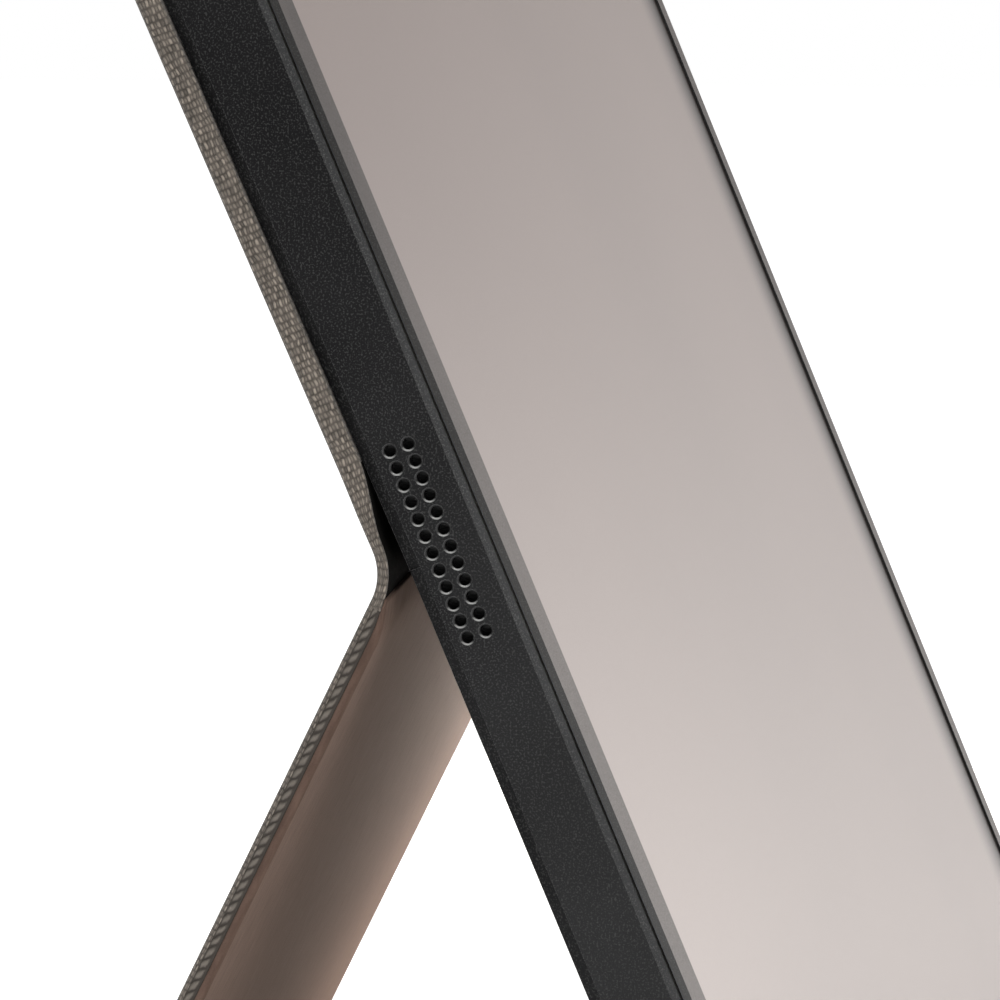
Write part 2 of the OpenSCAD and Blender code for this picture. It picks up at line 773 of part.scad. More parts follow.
module case_screws() {
    color([0.25, 0.25, 0.26]) on_monitor() for (x = screw_x) translate([x, 0, screw_z]) rotate([90, 0, 0]) {
        difference() {
            union() {
                translate([0, 0, 0.05]) cylinder(d = screw_head_d, h = screw_head_h - 0.05);
                cylinder(d = screw_d, h = screw_l);
            }
            // cross recess
            translate([-0.9, -0.2, -1]) cube([1.8, 0.4, 1.5]);
            translate([-0.2, -0.9, -1]) cube([0.4, 1.8, 1.5]);
        }
    }
}

module board_screws() {
    color(steel) on_monitor() {
        for (x = standoff_x, z = standoff_z) {
            translate([x, board_y - pcb_t, z]) rotate([90, 0, 0]) {
                cylinder(d = 2.8, h = 0.7);
                translate([0, 0, -1.4]) cylinder(d = 1.2, h = 1.5);
            }
        }
    }
}

magnet_w = 20;
magnet_h = 8;
magnet_t = 1.4;
magnet_y = -wall - 0.05 - magnet_t;
upper_magnet_x = [-110, -40, 40, 110];
upper_magnet_z = [24, case_h - crease_z - 20];
leg_magnet_x = [-92, 92];
leg_magnet_end = 16;
dock_magnet_x = [-112, 112];
dock_magnet_y = -6;
dock_magnet_d = 3;

module case_magnets() {
    color([0.7, 0.7, 0.72]) {
        // behind the upper panel
        on_back() for (x = upper_magnet_x, z = upper_magnet_z) {
            translate([x - magnet_w / 2, magnet_y, z]) cube([magnet_w, magnet_t, magnet_h]);
        }
        // behind the magnets of the folded leg
        on_monitor() for (x = leg_magnet_x) {
            z = crease_z - leg_len + leg_magnet_end;
            translate([x - magnet_w / 2, magnet_y, z - magnet_h / 2]) cube([magnet_w, magnet_t, magnet_h]);
        }
        // above the dock bar
        on_monitor() for (x = dock_magnet_x) {
            translate([x - magnet_w / 2, dock_magnet_y, wall + 0.05]) cube([magnet_w, dock_magnet_d, magnet_t]);
        }
    }
}

module foam_strips() {
    color([0.16, 0.16, 0.16]) on_monitor() {
        translate([rib_low_x, tray_back + 0.02, rib_z_low]) cube([rib_low_l, foam_t, rib_h]);
        translate([rib_high_x, tray_back + 0.02, rib_z_high]) cube([rib_high_l, foam_t, rib_h]);
    }
}

// ---- cover panels ---------------------------------------------------------------

// A cover panel is built from z = 0, at its bend, to z = len, at its far edge. Its inside
// face, towards the screen or the case, is at y = 0 and its outside face at y = cover_t.
module panel_skin(len, nose = false) {
    end = len - (nose ? 0 : skin_t);
    difference() {
        union() {
            block(cover_w, 0, cover_t, 0, len);
            if (nose) translate([0, cover_t / 2, len]) rod_x(cover_t, cover_w);
        }
        block(pocket_w, -1, cover_t - skin_t, -1, end);
    }
}

module panel_board(len, nose = false) {
    end = len - (nose ? 0 : skin_t) - board_gap;
    block(pocket_w - 2 * board_gap, lining_t + board_gap, cover_t - skin_t - board_gap, 0, end);
}

module panel_lining(len, nose = false) {
    end = len - (nose ? 0 : skin_t) - board_gap;
    block(pocket_w - 2 * board_gap, 0, lining_t, 0, end);
}

// slots in a board for the leaves of the two crease hinges
module leaf_slots(z0, z1) {
    for (x = [-hinge_x, hinge_x]) translate([x, 0, 0]) {
        y = cover_t / 2;
        block(hinge_l + 0.2, y - leaf_t / 2 - 0.05, y + leaf_t / 2 + 0.05, z0, z1);
    }
}

module on_upper_panel() {
    on_back() translate([0, cover_gap, crease_half]) children();
}

upper_len = panel_len - crease_half;
plate_t = 0.5;
plate_z = 18;
plate_margin = 5;
plate_w = case_w - 44;
plate_h = upper_len - plate_z - plate_margin;

module plate_pocket(gap) {
    z0 = plate_z - gap;
    block(plate_w + 2 * gap, lining_t, lining_t + board_gap + plate_t + gap, z0, z0 + plate_h + 2 * gap);
}

module upper_skin() {
    color(taupe) on_upper_panel() panel_skin(upper_len);
}

module upper_board() {
    color(cream) on_upper_panel() difference() {
        panel_board(upper_len);
        plate_pocket(0.05);
        leaf_slots(-1, leaf_reach);
    }
}

module upper_lining() {
    color(suede) on_upper_panel() panel_lining(upper_len);
}

module upper_steel_plate() {
    color(steel) on_upper_panel() translate([0, board_gap, plate_z]) {
        block(plate_w, lining_t, lining_t + plate_t, 0, plate_h);
    }
}

// the leg hangs down from the crease axis, so its frame is the panel frame turned over
module on_leg_panel() {
    on_leg() translate([0, -cover_t / 2, -crease_half]) mirror([0, 0, 1]) children();
}

leg_stiff = leg_len - crease_half;
leg_magnet_d = 8;
leg_magnet_t = 1;
leg_magnet_z = leg_stiff - leg_magnet_end;

module leg_magnet_places() {
    for (x = leg_magnet_x) translate([x, lining_t + board_gap + 0.1, leg_magnet_z]) rotate([-90, 0, 0]) children();
}

module leg_skin() {
    color(taupe) on_leg_panel() panel_skin(leg_stiff, nose = true);
}

module leg_board() {
    color(cream) on_leg_panel() difference() {
        panel_board(leg_stiff, nose = true);
        leg_magnet_places() translate([0, 0, -1]) cylinder(d = leg_magnet_d + 0.2, h = leg_magnet_t + 1.1);
        leaf_slots(-1, leaf_reach);
    }
}

module leg_lining() {
    color(suede) on_leg_panel() panel_lining(leg_stiff, nose = true);
}

module leg_magnets() {
    color([0.7, 0.7, 0.72]) on_leg_panel() leg_magnet_places() cylinder(d = leg_magnet_d, h = leg_magnet_t);
}

// ---- the crease -------------------------------------------------------------------

// half of the turn from the sloped upper back to the leg
bend_half = (open_angle + back_taper) / 2;
// the bend's radius, as far as the soft strip has room for it
bend_r = min(crease_r, crease_half / tan(bend_half) - cover_t / 2);

// Outline of a strip that bends round the crease: depth is how far inside the outer face
// it starts, and t its thickness. It runs straight, round the arc and straight again.
module bend_outline(depth, t) {
    centre = (bend_r + cover_t / 2) / cos(bend_half);
    run = crease_half - (bend_r + cover_t / 2) * tan(bend_half);
    steps = 12;
    function arc(r, side) = [
        for (k = [-steps : 2 : steps]) [centre - r * cos(bend_half), 0]
            + r * [cos(bend_half) - cos(bend_half * k / steps), side * sin(bend_half * k / steps)]
    ];
    near = arc(bend_r + depth, 1);
    far = arc(bend_r + depth + t, -1);
    tail_up = run * [sin(bend_half), cos(bend_half)];
    tail_down = run * [sin(bend_half), -cos(bend_half)];
    polygon(concat(
        [near[0] + tail_down], near, [near[steps] + tail_up],
        [far[0] + tail_up], far, [far[steps] + tail_down]
    ));
}

module bend_strip(w, depth, t) {
    // turned so that one tail lies along the upper panel and the other along the leg
    on_leg((open_angle - back_taper) / 2) translate([-w / 2, 0, 0]) rotate([90, 0, 90]) linear_extrude(w) {
        bend_outline(depth, t);
    }
}

module crease_skin() {
    color(taupe) bend_strip(cover_w, 0, skin_t);
}

module crease_band() {
    color([0.1, 0.09, 0.09]) bend_strip(pocket_w, skin_t + 0.02, lining_t);
}

// ---- crease hinges -----------------------------------------------------------------

knuckles = 5;

module knuckle_row(first) {
    step = hinge_l / knuckles;
    for (x = [-hinge_x, hinge_x], k = [first : 2 : knuckles - 1]) {
        xk = x - hinge_l / 2 + (k + 0.5) * step;
        difference() {
            union() {
                rod_x(knuckle_d, step - 0.1, xk);
                // the web that joins a knuckle to its leaf
                translate([xk - step / 2 + 0.05, -leaf_t / 2, -1.2]) cube([step - 0.1, leaf_t, 1.2]);
            }
            rod_x(hinge_pin_d + 2 * (first == 0 ? 0.01 : running_gap), step, xk);
        }
    }
    for (x = [-hinge_x, hinge_x]) translate([x, 0, 0]) {
        block(hinge_l - 0.1, -leaf_t / 2, leaf_t / 2, -crease_half - leaf_reach + 0.3, -1.1);
    }
}

module hinge_leaves_fixed() {
    color(steel) on_monitor() translate([0, axis_y, crease_z]) rotate([-back_taper, 0, 0]) mirror([0, 0, 1]) knuckle_row(0);
}

module hinge_leaves_moving() {
    color(steel) on_leg() knuckle_row(1);
}

module hinge_pins() {
    color(steel) on_monitor() translate([0, axis_y, crease_z]) {
        for (x = [-hinge_x, hinge_x]) rod_x(hinge_pin_d, hinge_l, x);
    }
}

// ---- dock bar and lid ----------------------------------------------------------------

dock_front = front_y + 0.1;
dock_back = -0.4;
foot_x = [-90, 90];
dock_pocket = 0.1;

module dock_bar() {
    color(black) on_monitor() difference() {
        translate([-case_w / 2 + case_r, dock_front, -dock_gap - dock_t]) {
            cube([case_w - 2 * case_r, dock_back - dock_front, dock_t]);
        }
        translate([0, foot_y, foot_z]) for (x = foot_x) rod_x(foot_d, foot_l + 2 * dock_pocket, x);
        translate([0, lid_axis_y, lid_axis_z]) rod_x(rod_d, case_w);
        for (x = dock_magnet_x) {
            y = dock_magnet_y - dock_pocket;
            z = -dock_gap - magnet_t - dock_pocket;
            translate([x - magnet_w / 2 - dock_pocket, y, z]) {
                cube([magnet_w + 2 * dock_pocket, dock_magnet_d + 2 * dock_pocket, magnet_t + 1]);
            }
        }
    }
}

module dock_feet() {
    color([0.07, 0.07, 0.07]) on_monitor() translate([0, foot_y, foot_z]) {
        for (x = foot_x) rod_x(foot_d - 2 * eps, foot_l, x);
    }
}

module dock_rod() {
    color(steel) on_monitor() translate([0, lid_axis_y, lid_axis_z]) rod_x(rod_d - 2 * eps, case_w - 2 * case_r);
}

module dock_magnets() {
    color([0.7, 0.7, 0.72]) on_monitor() for (x = dock_magnet_x) {
        translate([x - magnet_w / 2, dock_magnet_y, -dock_gap - magnet_t]) cube([magnet_w, dock_magnet_d, magnet_t]);
    }
}

// the lid's panel frame: its inside faces the screen when it is closed
module on_lid_panel() {
    on_lid() translate([0, -lid_mid + cover_t / 2, lid_crease]) mirror([0, 1, 0]) children();
}

module lid_skin() {
    color(taupe) on_lid_panel() panel_skin(lid_len);
}

lid_magnet_x = [-120, 0, 120];

module lid_magnet_places() {
    for (x = lid_magnet_x) translate([x, lining_t + board_gap + 0.1, lid_len - 12]) rotate([-90, 0, 0]) children();
}

module lid_board() {
    color(cream) on_lid_panel() difference() {
        panel_board(lid_len);
        lid_magnet_places() translate([0, 0, -1]) cylinder(d = leg_magnet_d + 0.2, h = leg_magnet_t + 1.1);
    }
}

module lid_lining() {
    color(suede) on_lid_panel() panel_lining(lid_len);
}

module lid_magnets() {
    color([0.7, 0.7, 0.72]) on_lid_panel() lid_magnet_places() cylinder(d = leg_magnet_d, h = leg_magnet_t);
}

// the soft strip from the rod down to the lid; y is measured up from the rod, z out to the lid
module lid_strip(w, top_start, top_end, t) {
    steps = 10;
    tail = 1.2;
    function ease(u) = u * u * (3 - 2 * u);
    top = concat(
        [[top_start, -tail]],
        [for (k = [0 : steps]) [top_start + (top_end - top_start) * ease(k / steps), lid_crease * k / steps]]
    );
    low = [for (k = [steps + 1 : -1 : 0]) top[k] - [t, 0]];
    on_lid() translate([-w / 2, 0, 0]) rotate([90, 0, 90]) linear_extrude(w) polygon(concat(top, low));
}

under_rod = -rod_d / 2 - 0.1;

module lid_crease_skin() {
    color(taupe) lid_strip(cover_w, under_rod - lining_t - board_gap, skin_t - cover_t / 2 - lid_mid, skin_t);
}

module lid_crease_lining() {
    color(suede) lid_strip(pocket_w, under_rod, cover_t / 2 - lid_mid, lining_t);
}

rear_housing();
front_bezel();
lcd_cell();
optical_films();
light_guide();
reflector_sheet();
panel_tray();
led_strip();
driver_board();
main_board();
shield_can();
ribbon_cable();
speaker_box_left();
speaker_box_right();
speaker_driver_left();
speaker_driver_right();
speaker_mesh_left();
speaker_mesh_right();
speaker_flex_left();
speaker_flex_right();
usb_c_port_upper();
usb_c_port_lower();
mini_hdmi_port();
audio_jack();
button_board();
tact_switches();
power_button();
brighter_button();
dimmer_button();
status_light_pipe();
case_screws();
board_screws();
case_magnets();
foam_strips();
upper_board();
upper_skin();
upper_lining();
upper_steel_plate();
crease_skin();
crease_band();
hinge_leaves_fixed();
hinge_leaves_moving();
hinge_pins();
leg_board();
leg_skin();
leg_lining();
leg_magnets();
dock_bar();
dock_feet();
dock_rod();
dock_magnets();
lid_crease_skin();
lid_crease_lining();
lid_board();
lid_skin();
lid_lining();
lid_magnets();
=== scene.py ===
import json
import math

import bmesh
import bpy
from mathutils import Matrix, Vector


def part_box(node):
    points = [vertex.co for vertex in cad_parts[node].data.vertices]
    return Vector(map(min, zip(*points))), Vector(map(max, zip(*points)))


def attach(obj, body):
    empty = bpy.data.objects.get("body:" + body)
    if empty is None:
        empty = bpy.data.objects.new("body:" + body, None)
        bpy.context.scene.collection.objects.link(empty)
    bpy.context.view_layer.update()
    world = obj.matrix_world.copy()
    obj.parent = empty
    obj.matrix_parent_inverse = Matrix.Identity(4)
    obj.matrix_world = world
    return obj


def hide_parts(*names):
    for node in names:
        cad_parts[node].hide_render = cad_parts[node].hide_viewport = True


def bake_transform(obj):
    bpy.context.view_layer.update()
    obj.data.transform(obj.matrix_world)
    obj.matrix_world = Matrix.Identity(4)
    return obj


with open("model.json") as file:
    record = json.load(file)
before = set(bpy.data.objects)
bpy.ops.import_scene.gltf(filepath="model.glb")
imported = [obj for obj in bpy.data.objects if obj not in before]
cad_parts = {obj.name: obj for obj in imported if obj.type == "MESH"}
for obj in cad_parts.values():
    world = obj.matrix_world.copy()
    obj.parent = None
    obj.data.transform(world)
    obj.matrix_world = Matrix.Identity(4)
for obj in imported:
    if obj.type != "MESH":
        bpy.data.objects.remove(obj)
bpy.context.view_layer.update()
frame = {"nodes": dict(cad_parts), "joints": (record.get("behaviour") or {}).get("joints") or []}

# ---- Viewpoint -------------------------------------------------------------------------
# The camera stands off the monitor's left side, a little above the grille, and looks
# along the case with a long lens, so that the side wall and the cover's edge fill the view.

mm = 0.001


def joint_place(name):
    return Vector(next(j["pos_m"] for j in frame["joints"] if j["name"] == name))


crease = joint_place("leg_hinge")
view_from = crease + Vector((-555.7, -65.3, 72.9)) * mm
view_yaw = math.radians(7.94)
view_drop = math.radians(9.28)
view_focal_px = 4083
photo_px = 1000

lens = bpy.data.cameras.new("side_view")
lens.sensor_width = 36
lens.lens = lens.sensor_width * view_focal_px / photo_px
lens.clip_start = 0.01
side_view = bpy.data.objects.new("side_view", lens)
side_view.location = view_from
look = Vector((
    math.cos(view_drop) * math.cos(view_yaw),
    math.cos(view_drop) * math.sin(view_yaw),
    -math.sin(view_drop),
))
side_view.rotation_euler = look.to_track_quat("-Z", "Y").to_euler()
bpy.context.scene.collection.objects.link(side_view)
bpy.context.scene.camera = side_view

# ---- Monitor case ----------------------------------------------------------------------
# The rear housing is one moulding in black polycarbonate blend, spark-eroded to a fine
# matte grain. Its wall carries the two grilles, the sockets and the buttons.


def start_finish(name, colour, roughness, metal=0.0):
    material = bpy.data.materials.new(name)
    material.use_nodes = True
    tree = material.node_tree
    surface = tree.nodes["Principled BSDF"]
    surface.inputs["Base Color"].default_value = (*colour, 1)
    surface.inputs["Roughness"].default_value = roughness
    surface.inputs["Metallic"].default_value = metal
    return material, tree, surface


def put(tree, kind, feeds=(), **settings):
    """A node with its settings, and what feeds its sockets: numbers, colours or other nodes' sockets."""
    node = tree.nodes.new(kind)
    for key, value in settings.items():
        setattr(node, key, value)
    for socket, source in dict(feeds).items():
        if isinstance(source, bpy.types.NodeSocket):
            tree.links.new(source, node.inputs[socket])
        else:
            node.inputs[socket].default_value = source
    return node


def sums(tree, operation, *terms):
    return put(tree, "ShaderNodeMath", dict(enumerate(terms)), operation=operation).outputs[0]


def object_place(tree):
    return put(tree, "ShaderNodeTexCoord").outputs["Object"]


def speckle(tree, place, size_mm, detail=2.0):
    feeds = {"Vector": place, "Scale": 1000 / size_mm, "Detail": detail}
    return put(tree, "ShaderNodeTexNoise", feeds).outputs[0]


def ramp(tree, source, low, high, dark=0.0, bright=1.0):
    feeds = {"Value": source, "From Min": low, "From Max": high, "To Min": dark, "To Max": bright}
    return put(tree, "ShaderNodeMapRange", feeds, interpolation_type="SMOOTHSTEP").outputs[0]


def two_tone(tree, share, first, second):
    """A mix of two colours, each given as numbers or as another node's socket."""
    feeds = {0: share}
    for socket, colour in ((6, first), (7, second)):
        feeds[socket] = colour if isinstance(colour, bpy.types.NodeSocket) else (*colour, 1)
    return put(tree, "ShaderNodeMix", feeds, data_type="RGBA").outputs[2]


def vector_sums(tree, operation, first, second):
    return put(tree, "ShaderNodeVectorMath", {0: first, 1: second}, operation=operation).outputs


def scaled(tree, source, factor):
    return put(tree, "ShaderNodeVectorMath", {0: source, 3: factor}, operation="SCALE").outputs[0]


def relief(tree, surface, height, depth_mm, normal=None):
    feeds = {"Strength": 1.0, "Distance": depth_mm * mm, "Height": height}
    if normal is not None:
        feeds["Normal"] = normal
    bump = put(tree, "ShaderNodeBump", feeds)
    tree.links.new(bump.outputs[0], surface.inputs["Normal"])


def moulded(
    name, colour, roughness, grain_mm, grain_depth_mm,
    fleck_and_glint=0.0, edge_mm=0.06, edge_highlight_grey=0.05, gloss=0.3,
):
    """Moulded plastic: an eroded grain with a few light flecks and painted glints on its peaks, and a painted
    highlight along its rounded edges.
    """
    material, tree, surface = start_finish(name, colour, roughness)
    place = object_place(tree)
    grain = speckle(tree, place, grain_mm, 3)
    cloud = speckle(tree, place, 18, 2)
    flecks = ramp(tree, speckle(tree, place, grain_mm * 1.6, 0), 0.74, 0.84, 0, fleck_and_glint)
    # the grain's peaks are painted light grey, which is painted glints; the flecks are scattered light specks
    # in the plastic
    peak_glints = ramp(tree, speckle(tree, place, grain_mm, 1), 0.5, 0.72, 0, fleck_and_glint * 1.1)
    worn = tuple(c * 1.35 + 0.002 for c in colour)
    tone = two_tone(tree, ramp(tree, cloud, 0.3, 0.7), colour, worn)
    fleck_and_glint_tone = two_tone(tree, sums(tree, "MAXIMUM", flecks, peak_glints), tone, (0.3, 0.3, 0.29))
    round_edge = put(tree, "ShaderNodeBevel", {"Radius": edge_mm * mm}, samples=6).outputs[0]
    flat = put(tree, "ShaderNodeNewGeometry").outputs["Normal"]
    turn = vector_sums(tree, "DOT_PRODUCT", round_edge, flat)[1]
    # a lighter grey where the bevel normal turns away from the face's, broken up by the grain: a painted
    # highlight along the rounded edges
    edge_highlight_mask = ramp(tree, turn, 0.9, 0.995, 1.0, 0.0)
    edge_highlight_mask = sums(tree, "MULTIPLY", edge_highlight_mask, ramp(tree, grain, 0.35, 0.65, 0.55, 1.0))
    edge_highlit_tone = two_tone(tree, edge_highlight_mask, fleck_and_glint_tone, (edge_highlight_grey, edge_highlight_grey, edge_highlight_grey))
    tree.links.new(edge_highlit_tone, surface.inputs["Base Color"])
    rough = ramp(tree, grain, 0.3, 0.7, roughness - 0.06, roughness + 0.1)
    tree.links.new(rough, surface.inputs["Roughness"])
    surface.inputs["Specular IOR Level"].default_value = gloss
    relief(tree, surface, grain, grain_depth_mm, round_edge)
    return material


def dress(material, slot, *nodes):
    """Gives CAD pieces their finish."""
    for node in nodes:
        piece = frame["nodes"][node]
        piece.data.materials.clear()
        piece.data.materials.append(material)
        for face in piece.data.polygons:
            face.material_index = 0


def give_faces(node, material, chosen):
    """A second finish on the faces of a CAD piece that the test picks by their middle and direction."""
    piece = frame["nodes"][node]
    piece.data.materials.append(material)
    last = len(piece.data.materials) - 1
    for face in piece.data.polygons:
        if chosen(face.center, face.normal, face.area):
            face.material_index = last


case_plastic = moulded(
    "case_black_grain", (0.0042, 0.0042, 0.0045), 0.42, 0.2, 0.02,
    fleck_and_glint=0.08, edge_mm=0.11, edge_highlight_grey=0.16, gloss=0.075,
)
dress(case_plastic, "case_plastic", "rear_housing", "dock_bar")

tilt = math.radians(22.6)
forward = Vector((0, -math.cos(tilt), math.sin(tilt)))
wall_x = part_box("rear_housing")[1].x


# each grille hole is countersunk, and its rim is painted light grey where it faces up: a painted highlight on
# its lower side
def on_hole_rim(middle, turn, area):
    return abs(middle.x) > wall_x - 0.25 * mm and 0.2 < abs(turn.x) < 0.95 and area < 0.12 * mm * mm


rim_highlight = moulded("grille_rim_highlight", (0.03, 0.03, 0.03), 0.3, 0.1, 0.004, edge_mm=0.01, gloss=0.3)
tree = rim_highlight.node_tree
facing = put(tree, "ShaderNodeNewGeometry").outputs["Normal"]
facing_up = put(tree, "ShaderNodeSeparateXYZ", {0: facing}).outputs[2]
# light grey on the upward-facing part of the rim: painted highlight
crescent_highlight = two_tone(tree, ramp(tree, facing_up, 0.3, 0.72), (0.022, 0.022, 0.022), (0.3, 0.3, 0.29))
tree.links.new(crescent_highlight, tree.nodes["Principled BSDF"].inputs["Base Color"])
give_faces("rear_housing", rim_highlight, on_hole_rim)


# the front bevel is a little smoother than the wall, and is given a lighter grey with more glints than the
# case: painted light on the bevel
def on_front_bevel(middle, turn, area):
    slanting = 0.3 < abs(turn.x) < 0.97 and turn.dot(forward) > 0.2
    return abs(middle.x) > wall_x - 0.5 * mm and slanting and area > 0.5 * mm * mm


bevel_lighter_copy = moulded(
    "front_bevel", (0.013, 0.013, 0.0132), 0.4, 0.16, 0.016,
    fleck_and_glint=0.14, edge_highlight_grey=0.16, gloss=0.15,
)
give_faces("rear_housing", bevel_lighter_copy, on_front_bevel)

# ---- Front bezel -----------------------------------------------------------------------
# A thin moulded frame, snapped and screwed into the housing from the front. Its edge has a
# finer grain than the case, and its face is painted a lighter grey: a painted sheen, for how light it looks
# when seen along it.

bezel_plastic = moulded(
    "bezel_black_grain", (0.01, 0.0092, 0.0088), 0.44, 0.14, 0.012,
    fleck_and_glint=0.08, edge_highlight_grey=0.03, gloss=0.25,
)
# the front face's lighter grey is painted sheen
bezel_front_sheen = moulded(
    "bezel_front_painted_sheen", (0.05, 0.042, 0.039), 0.46, 0.14, 0.012,
    fleck_and_glint=0.03, edge_highlight_grey=0.05, gloss=0.15,
)
dress(bezel_plastic, "bezel_plastic", "front_bezel")
give_faces("front_bezel", bezel_front_sheen, lambda middle, turn, area: turn.dot(forward) > 0.9)

# the parting groove between bezel and housing is painted light grey: painted light, standing in for light
# reaching into the groove
groove_painted_light = moulded("groove_painted_light", (0.19, 0.187, 0.182), 0.6, 0.12, 0.01, edge_mm=0.01)
back_to_crease = 1.35
groove_front = 9.15
groove_back = 8.7
groove_depth = 2.5
back_of_case = crease + forward * (back_to_crease * mm)


def in_groove(middle, turn, area):
    from_back = (middle - back_of_case).dot(forward) / mm
    return groove_back < from_back < groove_front and abs(middle.x) > wall_x - groove_depth * mm


give_faces("front_bezel", groove_painted_light, in_groove)
give_faces("rear_housing", groove_painted_light, in_groove)

# ---- Display ---------------------------------------------------------------------------
# The cell is a glass sandwich with an etched anti-glare film. Behind it lie the films, the
# light guide, its reflector and the steel tray, all held under the bezel.

# the cell's beige is far lighter than a dark screen's own colour: painted reflection of the pale room, seen
# at a low angle
beige_painted_reflection = (0.215, 0.165, 0.148)
screen_glass, tree, surface = start_finish("etched_screen_film", beige_painted_reflection, 0.3)
place = object_place(tree)
etch = speckle(tree, place, 0.06, 1)
haze = speckle(tree, place, 90, 1)
tone = two_tone(tree, ramp(tree, haze, 0.3, 0.7), beige_painted_reflection, tuple(c * 1.06 for c in beige_painted_reflection))

# the film is painted darker in colour and reflection the nearer it is to the bezel on its right-hand side:
# painted shade along the bezel's rim
screen_half_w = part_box("lcd_cell")[1].x
side_place = put(tree, "ShaderNodeSeparateXYZ", {0: place}).outputs[0]
bezel_side_shade = ramp(tree, side_place, screen_half_w - 27 * mm, screen_half_w - 3 * mm, 1.0, 0.14)
tree.links.new(scaled(tree, tone, bezel_side_shade), surface.inputs["Base Color"])
tree.links.new(ramp(tree, etch, 0.3, 0.7, 0.3, 0.36), surface.inputs["Roughness"])
tree.links.new(sums(tree, "MULTIPLY", bezel_side_shade, 0.36), surface.inputs["Specular IOR Level"])
relief(tree, surface, etch, 0.0012)
dress(screen_glass, "screen_glass", "lcd_cell")


def plain_stuff(
    name, colour, roughness, metal=0.0,
    grain_mm=0.4, depth_mm=0.004, spread=0.12, gloss=0.5,
):
    """A plain sheet or moulded stuff inside the case, with a little mottling and a fine surface."""
    material, tree, surface = start_finish(name, colour, roughness, metal)
    place = object_place(tree)
    mottle = speckle(tree, place, grain_mm * 8, 3)
    shaded = tuple(c * (1 - spread) for c in colour)
    tone = two_tone(tree, ramp(tree, mottle, 0.35, 0.65), colour, shaded)
    tree.links.new(tone, surface.inputs["Base Color"])
    fine = speckle(tree, place, grain_mm, 2)
    rough = ramp(tree, fine, 0.3, 0.7, roughness - 0.05, roughness + 0.05)
    tree.links.new(rough, surface.inputs["Roughness"])
    surface.inputs["Specular IOR Level"].default_value = gloss
    relief(tree, surface, fine, depth_mm)
    return material


clear_film = plain_stuff("display_films", (0.8, 0.82, 0.84), 0.25, depth_mm=0.001)
white_film = plain_stuff("reflector_white", (0.86, 0.86, 0.85), 0.45, depth_mm=0.002)
tray_metal = plain_stuff("tray_galvanised", (0.5, 0.51, 0.52), 0.38, 1.0, 1.6, 0.003, 0.2)
led_phosphor = plain_stuff("led_phosphor", (0.8, 0.72, 0.35), 0.5)
dress(clear_film, "clear_film", "optical_films", "light_guide", "status_light_pipe")
dress(white_film, "white_film", "reflector_sheet")
dress(tray_metal, "tray_metal", "panel_tray")
dress(led_phosphor, "led", "led_strip")

# ---- Electronics -----------------------------------------------------------------------
# Green glass-epoxy boards with their chips, a tinned shield can and copper-coloured flat
# cables. They sit in the bay behind the tray and are screwed to standoffs.


def solder_mask(name):
    """Board green, with the tracks under the mask showing as fine raised lines."""
    green = (0.016, 0.09, 0.045)
    track = (0.03, 0.15, 0.07)
    material, tree, surface = start_finish(name, green, 0.32)
    place = object_place(tree)
    turned = put(tree, "ShaderNodeMapping", {"Vector": place, "Rotation": (tilt, 0, 0)}).outputs[0]
    lines = put(tree, "ShaderNodeTexBrick", {
        "Vector": turned, "Scale": 1 / (9 * mm), "Mortar Size": 0.03, "Brick Width": 0.9, "Row Height": 0.13,
    }).outputs["Fac"]
    tree.links.new(two_tone(tree, lines, green, track), surface.inputs["Base Color"])
    relief(tree, surface, lines, 0.03)
    return material


circuit_board = solder_mask("board_solder_mask")
flat_cable = plain_stuff("polyimide_flex", (0.42, 0.2, 0.05), 0.35, grain_mm=0.8)
tinned = plain_stuff("tinned_steel", (0.58, 0.58, 0.57), 0.3, 1.0, 0.9, 0.004, 0.15)
dark_part = plain_stuff("dark_moulded_part", (0.02, 0.02, 0.021), 0.5, grain_mm=0.2, depth_mm=0.01)
dress(circuit_board, "circuit_board", "main_board", "driver_board", "button_board")
dress(flat_cable, "flat_cable", "ribbon_cable", "speaker_flex_left", "speaker_flex_right")
dress(tinned, "steel", "shield_can", "usb_c_port_upper", "usb_c_port_lower", "mini_hdmi_port")
dress(dark_part, "dark_part", "audio_jack", "tact_switches")
dress(dark_part, "dark_part", "speaker_box_left", "speaker_box_right")
dress(dark_part, "dark_part", "speaker_driver_left", "speaker_driver_right")

# ---- Grille mesh, foam and fixings -----------------------------------------------------
# A woven dust mesh is glued behind each grille. Foam strips seat the tray on its ribs, and
# black zinc screws hold the case. Nickel-plated magnets hold the cover.

mesh_black, tree, surface = start_finish("dust_mesh", (0.006, 0.006, 0.006), 0.8)
wire_pitch = 0.9
feeds = {"Vector": object_place(tree), "Scale": 1 / (wire_pitch * mm)}
wires = put(tree, "ShaderNodeTexWave", feeds, bands_direction="Z").outputs[1]
relief(tree, surface, wires, 0.03)
dress(mesh_black, "mesh", "speaker_mesh_left", "speaker_mesh_right")

